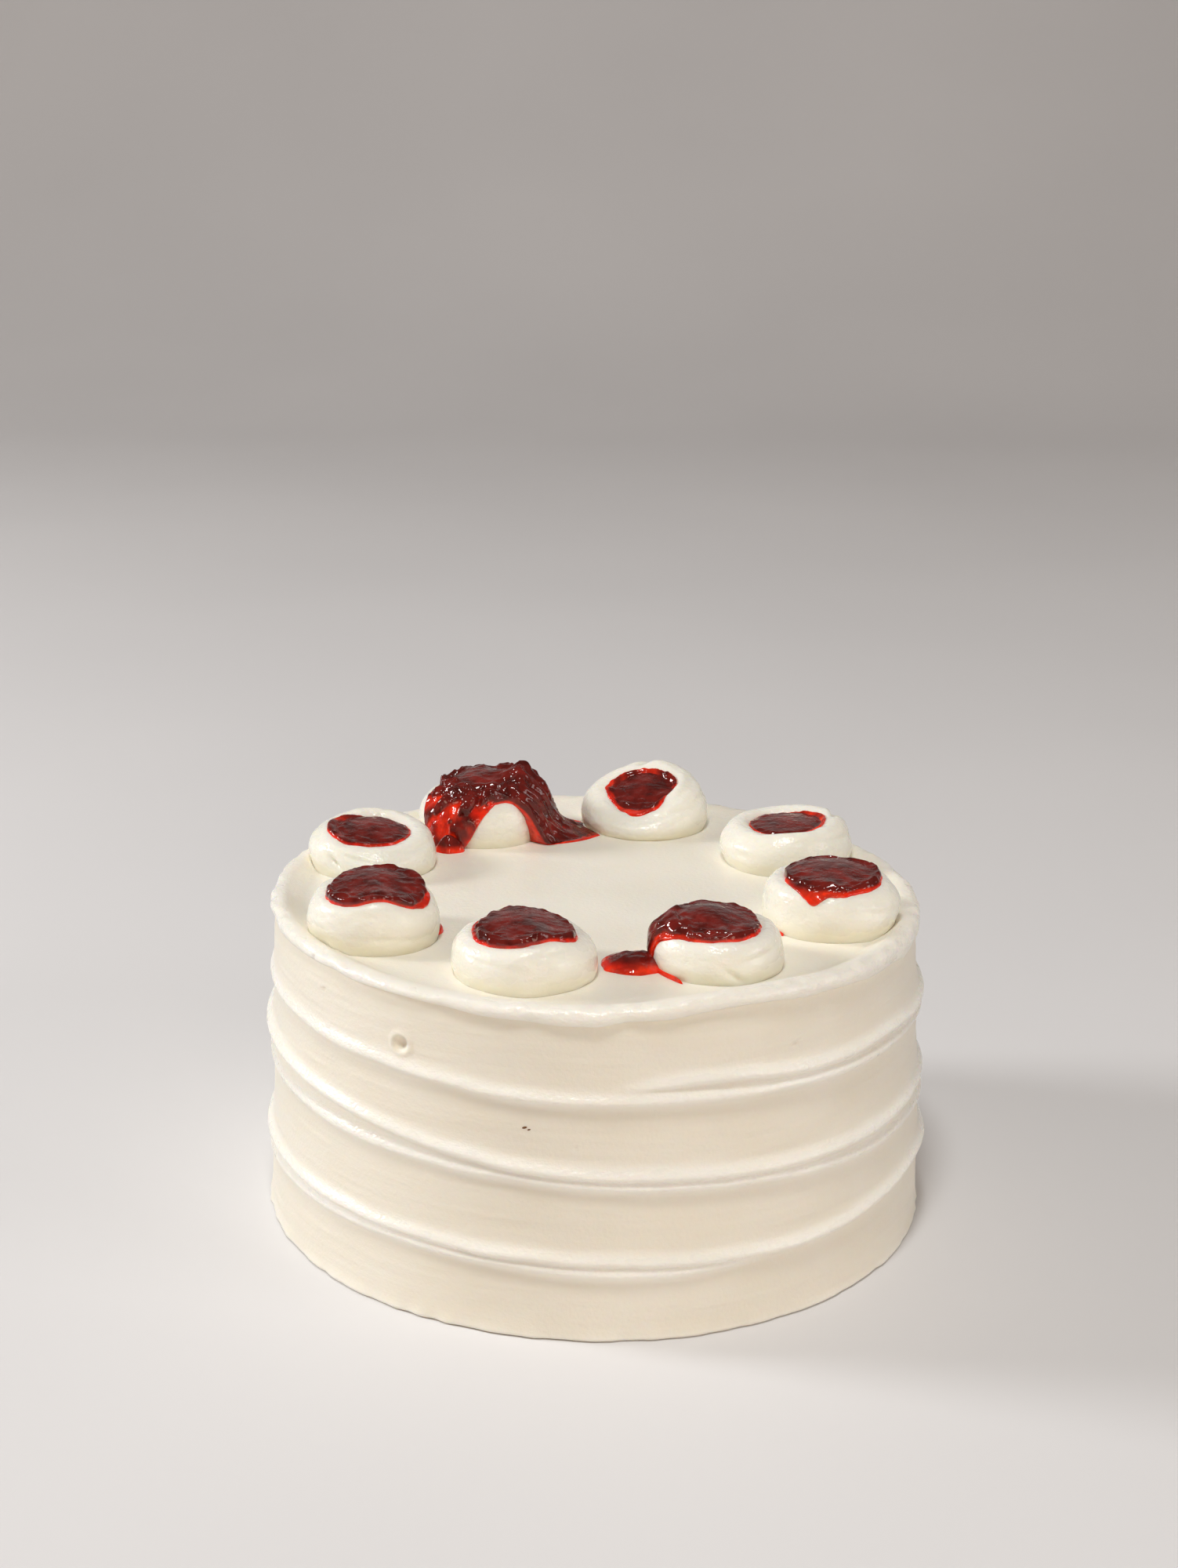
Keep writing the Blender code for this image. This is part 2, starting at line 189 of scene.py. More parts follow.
# Its section from the side, over the crest, to the flat top: (step, share of the bulge, radius as
# a share of the way in to the flat top, then how the height is shared between the lower edge, the
# crest and the top).
LIP_SECTION = (
    (0, 0.00, 0.00, 1.00, 0.00, 0.00),
    (1, 0.75, 0.00, 1.04, -0.04, 0.00),
    (2, 1.00, 0.01, 0.52, 0.48, 0.00),
    (3, 0.62, 0.05, 0.15, 0.85, 0.00),
    (4, 0.20, 0.18, 0.00, 1.00, 0.00),
    (5, 0.00, 0.40, 0.00, 0.94, 0.06),
    (6, 0.00, 0.66, 0.00, 0.45, 0.55),
    (7, 0.00, 1.00, 0.00, 0.00, 1.00),
)


def ease(value, low, high):
    """0 below low and 1 above high, with a smooth rise between: 3t^2 - 2t^3."""
    t = np.clip((value - low) / (high - low), 0, 1)
    return t * t * (3 - 2 * t)


def curve_through(points, at, closed=False):
    """The smooth cubic through points, which are (place, value, ...), at the places given.

    A closed curve repeats every full turn of 360.
    """
    table = np.array(points, float)
    at = np.asarray(at, float)
    if closed:
        turn = np.zeros(table.shape[1])
        turn[0] = 360
        at = table[0, 0] + (at - table[0, 0]) % 360
        table = np.concatenate([table - turn, table, table + turn])
    places, values = table[:, 0], table[:, 1:]
    slopes = np.gradient(values, places, axis=0)
    k = np.clip(np.searchsorted(places, at) - 1, 0, len(places) - 2)
    span = (places[k + 1] - places[k])[..., None]
    t = (at[..., None] - places[k][..., None]) / span
    return (
        (2 * t**3 - 3 * t**2 + 1) * values[k]
        + (t**3 - 2 * t**2 + t) * span * slopes[k]
        + (3 * t**2 - 2 * t**3) * values[k + 1]
        + (t**3 - t**2) * span * slopes[k + 1]
    )


def around(points, angles):
    """The one value of a closed curve at these angles."""
    return curve_through(points, angles, closed=True)[..., 0]


def turn_angles(steps):
    return np.arange(steps) * 360 / steps


def direction(angles):
    """Unit steps (sin, -cos) away from the axis, for angles counted from the front."""
    turn = np.radians(angles)
    return np.stack([np.sin(turn), -np.cos(turn)], axis=-1)


def at_height(plan, heights):
    """Points over the plan points (x, y), at these heights."""
    return np.concatenate([plan, np.broadcast_to(heights, plan.shape[:-1])[..., None]], axis=-1)


def mottle(across, up, columns, seed):
    """Smooth random heights from -1 to 1: random values on a lattice of unit cells, eased between
    their corners both ways. It repeats every `columns` cells across.
    """
    rows = 512
    values = np.random.default_rng(seed).uniform(-1, 1, (columns, rows))
    i = np.floor(across).astype(int)
    j = np.floor(up).astype(int)
    s = ease(across - i, 0, 1)
    t = ease(up - j, 0, 1)
    low = values[i % columns, j % rows] * (1 - s) + values[(i + 1) % columns, j % rows] * s
    high = values[i % columns, (j + 1) % rows] * (1 - s)
    high = high + values[(i + 1) % columns, (j + 1) % rows] * s
    return low * (1 - t) + high * t


def side_radius(angles, heights):
    """Radius of the scraped side: foot radius less a taper, plus the tallest ridge near each point.

    Above its crest a ridge falls as a narrow bell on a long concave ramp, and below it as a steep
    step. The second result is how near the point is to a crest or to the foot, from 0 to 1.
    """
    taper = FOOT_RADIUS + (SHOULDER_RADIUS - FOOT_RADIUS) * heights / TOP_HEIGHT
    ragged = 1 + FLARE_RAGGEDNESS * mottle(angles / 2.4, 0 * angles, 150, 13)
    flare = FOOT_FLARE * ragged * np.exp(-((heights / FLARE_HEIGHT) ** 2))
    proud = np.zeros_like(taper)
    near = MOIST_LIT_FOOT * np.exp(-((heights / MOIST_LIT_FOOT_HEIGHT) ** 2)) + 0 * taper
    for number, ridge in enumerate(RIDGES):
        first, last = ridge[0][0], ridge[-1][0]
        for turn in range(-1, 4):
            wound = angles + 360 * turn
            crest, reach = np.moveaxis(curve_through(ridge, np.clip(wound, first, last)), -1, 0)
            crest = crest + CREST_WANDER * mottle(wound / 7, 0 * wound, 400, 10 + number)
            off = heights - crest
            ramp = (1 - BURR_SHARE) * np.exp(-np.maximum(off, 0) / RAMP)
            burr = BURR_SHARE * np.exp(-((off / BURR) ** 2))
            step = np.exp(-((off / STEP) ** 2))
            here = (wound >= first) & (wound <= last)
            shape = np.where(off > 0, ramp + burr, step)
            proud = np.maximum(proud, here * PROUD * reach * shape)
            band = np.exp(-(((off - BAND_RISE) / BAND_WIDTH) ** 2))
            near = np.maximum(near, here * band * np.clip(reach / 0.001, 0, 1))
    return taper + flare + proud, near


def dents(angles, heights):
    """How far the dents go in: a flat-bottomed bell for each, less a low ring at 1.5 radii."""
    depth = np.zeros(np.broadcast_shapes(angles.shape, heights.shape))
    for turn, height, radius, deep in DENTS:
        aside = np.radians((angles - turn + 180) % 360 - 180) * SHOULDER_RADIUS
        far = np.hypot(aside, heights - height) / radius
        depth = depth + deep * (np.exp(-(far**4)) - 0.35 * np.exp(-(((far - 1.5) / 0.4) ** 2)))
    return depth


def lip_rise(plan):
    """How far the inner slope of the lip stands above the flat top at plan points (x, y)."""
    out = np.linalg.norm(plan, axis=-1)
    angles = np.degrees(np.arctan2(plan[..., 0], -plan[..., 1]))
    crest = curve_through(RIM, angles, closed=True)[..., 1]
    return (crest - TOP_HEIGHT) * ease(out, FLAT_TOP_RADIUS, CREST_RADIUS)


def coat_rings():
    """Rings of points from the base up the side, over the lip and in over the flat top.

    The second result is how moist the cream is there, from 0 to 1. It also sets how far a painted
    highlight whitens the colour.
    """
    angles = turn_angles(COAT_STEPS)[None, :]
    angles = angles - FRONT_CROWDING * np.sin(np.radians(angles))
    low_edge, crest, bulge = np.moveaxis(curve_through(RIM, angles, closed=True), -1, 0)
    low_edge = low_edge + LIP_WANDER * mottle(angles / 6, 0 * angles, 60, 3)
    bulge = bulge + LIP_WANDER * mottle(angles / 5, 0 * angles, 72, 4)

    climb = np.linspace(0, 1, SIDE_LEVELS)[:, None]
    side_heights = FOOT_BEVEL + (low_edge - FOOT_BEVEL) * climb
    side, near = side_radius(angles, side_heights)
    side = side + SIDE_SWELL * mottle(angles / 15, side_heights / 0.006, 24, 5)
    side = side + SIDE_LINES * mottle(angles / 9, side_heights / 0.0011, 40, 6)
    side = side + CREST_BEADS * near * mottle(angles / 1.5, side_heights / 0.0009, 240, 12)

    last_step = LIP_SECTION[-1][0]
    step = np.linspace(0, last_step, LIP_LEVELS + 1)[1:, None]
    swell, inwards, by_edge, by_crest, by_top = np.moveaxis(curve_through(LIP_SECTION, step), -1, 0)
    lip = side[-1:] + bulge * swell - (side[-1:] - FLAT_TOP_RADIUS) * inwards
    lip_heights = low_edge * by_edge + crest * by_crest + TOP_HEIGHT * by_top
    rough = LIP_LUMPS * mottle(angles / 2.5, step * 0.9, 144, 7)
    rough = rough + LIP_BEADS * mottle(angles / 1.5, step * 1.5, 240, 11)
    rough = rough * np.sin(np.pi * step / last_step)
    lip = lip + rough - dents(angles, lip_heights)
    lip_heights = lip_heights + rough * (by_crest > 0.4)

    top = np.linspace(FLAT_TOP_RADIUS, INNERMOST_RING, TOP_LEVELS + 1)[1:, None] + 0 * angles
    side = side - dents(angles, side_heights)
    # The moist mark, which also whitens the colour as a painted highlight, over the side, lip and
    # flat top.
    fade = np.where(step < MOIST_LIT_LIP_STEP, MOIST_LIT_LIP_OUTWARDS, MOIST_LIT_LIP_INWARDS)
    brushed_and_lit = np.exp(-(((step - MOIST_LIT_LIP_STEP) / fade) ** 2)) + 0 * lip
    brushed_and_lit = np.maximum(brushed_and_lit, MOIST_LIT_TOP)
    moist_and_lit = np.concatenate([0 * side[:1], near, brushed_and_lit, MOIST_LIT_TOP + 0 * top])
    base = side[:1] - FOOT_BEVEL
    radius = np.concatenate([base, side, lip, top])
    heights = np.concatenate([0 * base, side_heights, lip_heights, 0 * top + TOP_HEIGHT])
    plan = direction(np.broadcast_to(angles, radius.shape)) * radius[..., None]
    arcs = mottle(np.hypot(plan[..., 0] + 0.09, plan[..., 1] - 0.13) / 0.007, 0 * radius, 512, 8)
    swirl = mottle(plan[..., 0] / 0.016, plan[..., 1] / 0.016, 512, 9)
    inside = ease(0.0715 - radius, 0, 0.003) * (heights > 0.06)
    level = (TOP_ARCS * arcs + TOP_SWELL * swirl) * inside
    plan[..., 0] += FOOT_SHIFT * (1 - ease(heights, 0.02, 0.07))
    return at_height(plan, heights + level), moist_and_lit


class Value:
    """One output of a shader node. Arithmetic on it adds Math nodes."""

    def __init__(self, finish, socket):
        self.finish = finish
        self.socket = socket

    def maths(self, operation, *terms):
        return self.finish.node("ShaderNodeMath", {"operation": operation}, dict(enumerate(terms)))

    def __add__(self, other):
        return self.maths("ADD", self, other)

    def __sub__(self, other):
        return self.maths("SUBTRACT", self, other)

    def __rsub__(self, other):
        return self.maths("SUBTRACT", other, self)

    def __mul__(self, other):
        return self.maths("MULTIPLY", self, other)

    def __pow__(self, other):
        return self.maths("POWER", self, other)

    def rise(self, low, high):
        """0 below low, 1 above high, and straight between."""
        limits = {"Value": self, "From Min": low, "From Max": high}
        return self.finish.node("ShaderNodeMapRange", {"clamp": True}, limits)

    __radd__ = __add__
    __rmul__ = __mul__


class Finish:
    """A material. Its constants stand on the shader's own sockets, and node() adds each node."""

    def __init__(self, name, constants):
        self.material = bpy.data.materials.new(name)
        self.material.use_nodes = True
        self.tree = self.material.node_tree
        self.shader = self.tree.nodes["Principled BSDF"]
        for socket, value in constants.items():
            self.feed(self.shader.inputs[socket], value)
        self.place = self.node("ShaderNodeTexCoord", {}, {}, "Object")

    def feed(self, socket, value):
        if isinstance(value, Value):
            self.tree.links.new(value.socket, socket)
        else:
            socket.default_value = value

    def node(self, kind, settings, inputs, output=0):
        made = self.tree.nodes.new(kind)
        for setting, value in settings.items():
            setattr(made, setting, value)
        for name, value in inputs.items():
            self.feed(made.inputs[name], value)
        return Value(self, made.outputs[output])

    def noise(self, size, detail=2.0):
        """Cloudy noise from 0 to 1. Its lumps are size = (x, y, z) metres across."""
        scale = tuple(1 / side for side in size)
        stretch = {0: self.place, 1: scale}
        where = self.node("ShaderNodeVectorMath", {"operation": "MULTIPLY"}, stretch)
        inputs = {"Vector": where, "Scale": 1.0, "Detail": detail}
        return self.node("ShaderNodeTexNoise", {}, inputs)

    def mix(self, share, first, second):
        """The colour a share of the way from the first to the second."""
        colours = {0: share, 6: first, 7: second}
        return self.node("ShaderNodeMix", {"data_type": "RGBA"}, colours, 2)

    def attribute(self, name):
        return self.node("ShaderNodeAttribute", {"attribute_name": name}, {}, "Fac")

    def bump(self, height, distance, normal=None):
        inputs = {"Height": height, "Distance": distance}
        if normal:
            inputs["Normal"] = normal
        return self.node("ShaderNodeBump", {}, inputs)

    def show(self, **sockets):
        """Feeds the shader's sockets, with _ for a space in a name."""
        for name, value in sockets.items():
            self.feed(self.shader.inputs[name.replace("_", " ")], value)
        return self.material


def closed_skin(name, start, rings, end, material, slot, nodes=(), **marks):
    """A closed piece from a grid of points: a fan from start to the first ring, four-sided faces
    between neighbouring rings, and a fan to end. Each mark is a value at every point of the rings.
    """
    rows, steps = rings.shape[:2]
    points = np.concatenate([[start], rings.reshape(-1, 3), [end]]).astype(np.float32)
    index = 1 + np.arange(rows * steps).reshape(rows, steps)
    after = np.roll(index, -1, axis=1)
    quads = np.stack([index[:-1], after[:-1], after[1:], index[1:]], axis=-1).reshape(-1)
    first = np.stack([0 * index[0], after[0], index[0]], axis=-1).reshape(-1)
    last = np.stack([0 * index[0] + len(points) - 1, index[-1], after[-1]], axis=-1).reshape(-1)
    corners = np.concatenate([quads, first, last]).astype(np.int32)
    sizes = np.concatenate([np.full(len(quads) // 4, 4), np.full(2 * steps, 3)])
    mesh = bpy.data.meshes.new(name)
    mesh.vertices.add(len(points))
    mesh.vertices.foreach_set("co", points.ravel())
    mesh.loops.add(len(corners))
    mesh.loops.foreach_set("vertex_index", corners)
    mesh.polygons.add(len(sizes))
    mesh.polygons.foreach_set("loop_start", (np.cumsum(sizes) - sizes).astype(np.int32))
    mesh.update(calc_edges=True)
    mesh.shade_smooth()
    mesh.materials.append(material)
    for mark, values in marks.items():
        spread = np.concatenate([[values[0].mean()], values.ravel(), [values[-1].mean()]])
        layer = mesh.attributes.new(mark, "FLOAT", "POINT")
        layer.data.foreach_set("value", spread.astype(np.float32))
    piece = bpy.data.objects.new(name, mesh)
    bpy.context.scene.collection.objects.link(piece)
    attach(piece, "root")
    if nodes:
        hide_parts(*nodes)
    return piece


# The first colour, warm and yellow, is partly the cream's own fat and partly painted warm shade,
# under the lip and round the feet of the dollops.
FAT_AND_SHADE_CREAM = (0.96, 0.885, 0.66, 1)
SCRAPED_CREAM = (0.88, 0.83, 0.715, 1)
# The whiter colour for moist cream is a painted highlight on the crests, over the lip and on the
# flat top.
SCRAPED_HIGHLIGHT = (0.965, 0.945, 0.885, 1)
# How strongly the side just under the lip is tinted warm and yellow: painted shade under the lip's
# overhang.
UNDER_LIP_SHADE = 0.10


def cream_finish(name, dry, moist_and_lit, streaks, depth, dull):
    """Soft whipped cream, with fine air bubbles and beads where it is wet. It is yellower in the
    hollows, partly with its own fat and partly as painted warm shade, and whiter where it is wet, as
    a painted highlight.

    dry is its plain colour and the next its whiter colour where it is wet, a painted highlight.
    streaks is how strongly the knife's level lines show, depth is how far light runs under the skin,
    and dull is the least roughness of dry cream.
    """
    finish = Finish(
        name,
        {
            "Subsurface Weight": 0.40,
            "Subsurface Radius": (1.0, 0.72, 0.45),
            "Subsurface Scale": depth,
            "Specular IOR Level": 0.42,
        },
    )
    cloud = finish.noise((0.02, 0.02, 0.012))
    hollow = finish.attribute("hollow")
    wet = finish.attribute("wet")
    # Moist cream is mixed whiter as a painted highlight, with a little random cloud in its tone.
    colour = finish.mix(0.25 * cloud.rise(0.3, 0.7) + 0.75 * wet, dry, moist_and_lit)
    # Where the mark for the hollows is high the colour turns warm and yellow: partly the cream's
    # fat, partly painted warm shade.
    colour = finish.mix(hollow, colour, FAT_AND_SHADE_CREAM)
    pores = finish.noise((0.0009, 0.0009, 0.0009), 3.0)
    lines = finish.noise((0.02, 0.02, 0.0007), 3.0)
    relief = finish.bump(pores, 0.00012)
    relief = finish.bump(lines * streaks, 0.00004, relief)
    beads = finish.noise((0.0011, 0.0011, 0.0006), 2.0)
    relief = finish.bump(beads * wet, 0.00017, relief)
    gloss = dull + 0.16 * finish.noise((0.006, 0.006, 0.004)).rise(0.3, 0.7) - 0.20 * wet
    return finish.show(Base_Color=colour, Roughness=gloss, Normal=relief)


rings, moist_and_lit = coat_rings()
# The side just under the lip takes the warm yellow colour as painted shade under the lip's overhang.
under_lip_shade = ease(rings[..., 2], 0.064, 0.0695) * (np.arange(len(rings)) < SIDE_LEVELS)[:, None]
closed_skin(
    "cream_coat",
    (0, 0, 0),
    rings,
    (0, 0, TOP_HEIGHT),
    cream_finish(
        "scraped_cream", SCRAPED_CREAM, SCRAPED_HIGHLIGHT, streaks=1.0, depth=0.0018, dull=0.38
    ),
    "cream",
    ["iced_cake"],
    hollow=UNDER_LIP_SHADE * under_lip_shade,
    wet=moist_and_lit,
)

# The dollops: eight rounds of whipped cream set round the rim from a spoon, each pressed hollow in
# the middle to hold its jam. Each rests on the flat top and leans on the lip beside it.
WELL_ANGLE = -80
BASE_ANGLE = 120
FOOT_ANGLES = (78, 118)
FOOT_SINK = 0.0009
BASE_SINK = 0.0003
DOLLOP_STEPS = 144
DOLLOP_LEVELS = 60
DOLLOP_SWELL = 0.00036
DOLLOP_RIPPLE = 0.00011
# The dollops' cream is a lighter copy of the coat's cream, a painted brightening of the dollops. Its
# whiter second colour is a painted highlight where the cream is moist, and the foot tint is partly
# the cream's fat and partly painted warm shade round the feet.
LIT_SPOONED_CREAM = (0.92, 0.885, 0.765, 1)
SPOONED_HIGHLIGHT = (0.96, 0.935, 0.86, 1)
FOOT_FAT_AND_SHADE = 0.55
DOLLOP_SHINE = 0.6


@dataclass
class Dollop:
    """One hollowed dollop of cream and its jam.

    ring is the radius of the crest over the whole radius, and crest lists (angle round, height
    there as a share of height). lobes lists (angle round, share of the radius added). jam_edge
    lists (angle round, angle over the rim) of the line where the jam ends: below 0 is in the well,
    0 is the crest, and 120 is the foot. film lists (angle round, degrees over the rim) of the thin
    runny band inside that line, and drips lists (angle round, width, degrees) of tongues that run
    further. The jam fills the well to jam_level of the crest, stands jam_depth over it, and has
    lumps that high. bumps raise it, as (x, y from the centre, width, height), spread lists (angle
    round, how far it spreads past the foot), and keeps_off names dollops that it flows round.
    folds are creases that the spoon left in the cream, as (angle round, angle over, tilt, length,
    width, depth). The jam's mesh has turn_steps round and jam_rows inwards.
    """

    centre: tuple
    radius: float
    height: float
    ring: float
    jam_edge: tuple
    jam_level: float = 1.0
    jam_depth: float = 0.0010
    lumps: float = 0.00045
    film: tuple = ((0, 0), (180, 0))
    drips: tuple = ()
    bumps: tuple = ()
    crest: tuple = ((0, 1.0), (180, 1.0))
    lobes: tuple = ((60, 0.02), (150, -0.02), (240, 0.02), (330, -0.015))
    spread: tuple = ()
    keeps_off: tuple = ()
    folds: tuple = ()
    turn_steps: int = 200
    jam_rows: int = 60


DOLLOPS = {
    "front_left": Dollop(
        centre=(-0.0483, -0.0275),
        radius=0.0141,
        height=0.0106,
        ring=0.72,
        crest=((-90, 1.0), (-30, 0.96), (15, 1.06), (50, 0.94), (90, 0.98)),
        jam_edge=(
            (-90, -8),
            (-50, 18),
            (-15, 16),
            (12, 4),
            (38, 20),
            (62, 40),
            (90, 22),
            (180, -10),
        ),
        film=((-60, 4), (0, 0), (40, 2), (62, 14), (85, 10), (110, 0), (180, 0)),
        folds=((5, 48, 0.2, 12, 7, 0.0003), (30, 92, 0.1, 40, 6, 0.0004)),
        bumps=((0.0, 0.0025, 0.0085, 0.0016),),
    ),
    "front": Dollop(
        centre=(-0.0149, -0.0473),
        radius=0.0153,
        height=0.0092,
        ring=0.72,
        crest=((-90, 0.98), (-20, 0.98), (28, 1.08), (65, 0.96), (180, 1.0)),
        jam_edge=((-82, 0), (-40, 14), (-5, 8), (28, 0), (58, 14), (85, -2), (180, -12)),
        film=((-75, 12), (-45, 3), (30, 0), (62, 7), (90, 2), (180, 0)),
        folds=((28, 34, -0.6, 20, 8, 0.0004), (-30, 60, 0.3, 25, 7, 0.0003)),
        bumps=((-0.0015, 0.001, 0.009, 0.0016),),
    ),
    "front_right": Dollop(
        centre=(0.0260, -0.0413),
        radius=0.0140,
        height=0.0088,
        ring=0.72,
        jam_edge=(
            (-140, -10),
            (-112, 10),
            (-80, 54),
            (-45, 26),
            (-10, 14),
            (30, 8),
            (80, -16),
            (150, -14),
        ),
        film=((-120, 4), (-85, 24), (-50, 12), (-15, 0), (25, 2), (55, 5), (120, 0)),
        drips=((-88, 12, 80),),
        folds=((12, 96, 1.5, 9, 8, 0.0009), (40, 60, -0.4, 30, 8, 0.0004)),
        bumps=((-0.0030, 0.0015, 0.0075, 0.0022),),
    ),
    "right": Dollop(
        centre=(0.0522, -0.0147),
        radius=0.0150,
        height=0.0106,
        ring=0.72,
        jam_edge=(
            (-80, -2),
            (-50, 18),
            (-22, 34),
            (-5, 24),
            (14, 18),
            (45, 12),
            (80, 2),
            (180, -12),
        ),
        film=((-80, 0), (-55, 16), (-24, 40), (0, 22), (20, 12), (60, 5), (110, 0)),
        drips=((-22, 10, 16), (9, 5, 7)),
        folds=((40, 70, 0.4, 30, 8, 0.0004),),
        bumps=((0.0005, 0.001, 0.0085, 0.0014),),
    ),
    "back_right": Dollop(
        centre=(0.0450, 0.0280),
        radius=0.0152,
        height=0.0098,
        ring=0.72,
        crest=((-45, 0.92), (30, 1.0), (110, 1.08), (180, 1.0)),
        jam_edge=((-60, -34), (0, -40), (90, -24), (180, -36)),
        jam_level=0.88,
        jam_depth=0.0004,
        bumps=((0.0, 0.0, 0.006, 0.0004),),
        lobes=((30, -0.02), (105, 0.06), (180, -0.02), (270, 0.0)),
        folds=(
            (112, 18, 1.2, 14, 12, 0.0014),
            (70, 55, 0.5, 30, 9, 0.0007),
            (-45, 80, 0, 14, 9, 0.0005),
        ),
    ),
    "back": Dollop(
        centre=(0.0118, 0.0540),
        radius=0.0155,
        height=0.0098,
        ring=0.66,
        crest=((-15, 0.54), (75, 1.0), (165, 1.36), (255, 0.90)),
        jam_edge=((-45, -8), (-8, 16), (22, -6), (50, -30), (100, -24), (165, -34), (260, -8)),
        jam_level=0.88,
        jam_depth=0.0005,
        film=((-45, 12), (-8, 14), (40, 2), (165, 2), (230, 5), (280, 12)),
        folds=(
            (60, -18, 0.2, 42, 16, -0.0014),
            (175, 8, -1.0, 12, 14, 0.0016),
            (60, 42, 0.3, 45, 9, 0.0006),
        ),
        bumps=((0.0, 0.0, 0.006, 0.0004),),
    ),
    "back_left": Dollop(
        centre=(-0.0283, 0.0455),
        radius=0.0150,
        height=0.0112,
        ring=0.68,
        jam_edge=(
            (-150, 0),
            (-100, 4),
            (-76, 30),
            (-55, 96),
            (-30, 130),
            (-12, 116),
            (3, 62),
            (18, 30),
            (32, 24),
            (45, 50),
            (55, 114),
            (75, 130),
            (110, 130),
            (130, 84),
            (152, 30),
        ),
        jam_depth=0.0014,
        lumps=0.0011,
        film=((-150, 0), (-95, 6), (-62, 46), (-34, 92), (-8, 64), (12, 10), (40, 2), (90, 8)),
        crest=((-90, 0.92), (0, 1.0), (90, 1.0), (180, 1.0)),
        bumps=((0.0, 0.002, 0.009, 0.0024), (0.0105, 0.0, 0.0052, 0.0038)),
        spread=(
            (-60, 0.0),
            (-35, 0.0026),
            (-10, 0.0),
            (40, 0.0),
            (62, 0.0060),
            (80, 0.0130),
            (92, 0.0165),
            (105, 0.0120),
            (128, 0.0040),
            (150, 0.0),
        ),
        keeps_off=("back",),
        turn_steps=320,
        jam_rows=100,
    ),
    "left": Dollop(
        centre=(-0.0526, 0.0199),
        radius=0.0148,
        height=0.0092,
        ring=0.70,
        crest=((0, 0.78), (90, 0.90), (180, 1.10), (270, 1.02)),
        jam_edge=((-80, 6), (0, -4), (90, -22), (180, -42)),
        jam_level=0.92,
        jam_depth=0.0004,
        film=((-80, 0), (0, 0), (70, 5), (120, 12), (180, 4)),
        folds=(
            (-35, 74, 1.6, 8, 9, 0.0012),
            (-12, 52, 0.5, 12, 7, 0.0006),
            (60, 40, 0.2, 30, 9, 0.0005),
        ),
        bumps=((0.0, 0.0, 0.006, 0.0006),),
    ),
}


def dollop_skin(dollop, angles, over):
    """Points and outward directions on a dollop.

    The skin is a ring with an oval section: angles run round it, and over runs over its section
    from the well (WELL_ANGLE), through the crest (0), to the foot (BASE_ANGLE). Low swells, fine
    ripples and folds of the soft cream move it along its outward direction.
    """
    angles, over = np.broadcast_arrays(angles, over)
    turn = np.radians(over)
    middle = dollop.radius * dollop.ring
    wide = dollop.radius - middle
    base = np.cos(np.radians(BASE_ANGLE))
    tall = dollop.height * around(dollop.crest, angles) / (1 - base)
    out = (middle + wide * np.sin(turn)) * (1 + around(dollop.lobes, angles))
    up = tall * (np.cos(turn) - base)
    away = direction(angles)
    plan = np.array(dollop.centre) + away * out[..., None]
    low = TOP_HEIGHT + lip_rise(plan) * np.clip(1 - up / dollop.height, 0, 1)
    normal = at_height(away * (np.sin(turn) / wide)[..., None], np.cos(turn) / tall)
    normal = normal / np.linalg.norm(normal, axis=-1, keepdims=True)
    seed = int(1e4 * abs(dollop.centre[0]))
    swell = DOLLOP_SWELL * mottle(angles / 40, over / 38 + 9, 9, seed)
    swell = swell + DOLLOP_RIPPLE * mottle(angles / 12, over / 13 + 9, 30, seed + 1)
    for middle_turn, middle_over, tilt, length, width, depth in dollop.folds:
        aside = (angles - middle_turn + 180) % 360 - 180
        across = (over - middle_over - tilt * aside) / width
        swell = swell - depth * np.exp(-((aside / length) ** 2) - across**2)
    return at_height(plan, low + up) + normal * swell[..., None], normal


def well_floor(dollop):
    """The middle of the floor of a dollop's well."""
    return dollop_skin(dollop, turn_angles(36), WELL_ANGLE)[0].mean(axis=0)


spooned_cream = cream_finish(
    "spooned_cream", LIT_SPOONED_CREAM, SPOONED_HIGHLIGHT, streaks=0.0, depth=0.0060, dull=0.28
)
for place, dollop in DOLLOPS.items():
    angles = turn_angles(DOLLOP_STEPS)[None, :]
    over = np.linspace(BASE_ANGLE, WELL_ANGLE, DOLLOP_LEVELS)[:, None]
    points, _ = dollop_skin(dollop, angles, over)
    points[..., 2] -= FOOT_SINK * (over == BASE_ANGLE)
    # The feet are tinted yellow, partly with the cream's fat and partly as painted warm shade, and
    # the rest is marked moist, which makes it glossier and paints a highlight into its colour.
    foot = ease(over + 0 * angles, *FOOT_ANGLES)
    closed_skin(
        f"dollop_{place}",
        (*dollop.centre, TOP_HEIGHT - BASE_SINK),
        points,
        well_floor(dollop),
        spooned_cream,
        "cream",
        [f"cream_{place}"],
        hollow=FOOT_FAT_AND_SHADE * foot,
        wet=DOLLOP_SHINE * ease(foot, 1, 0),
    )

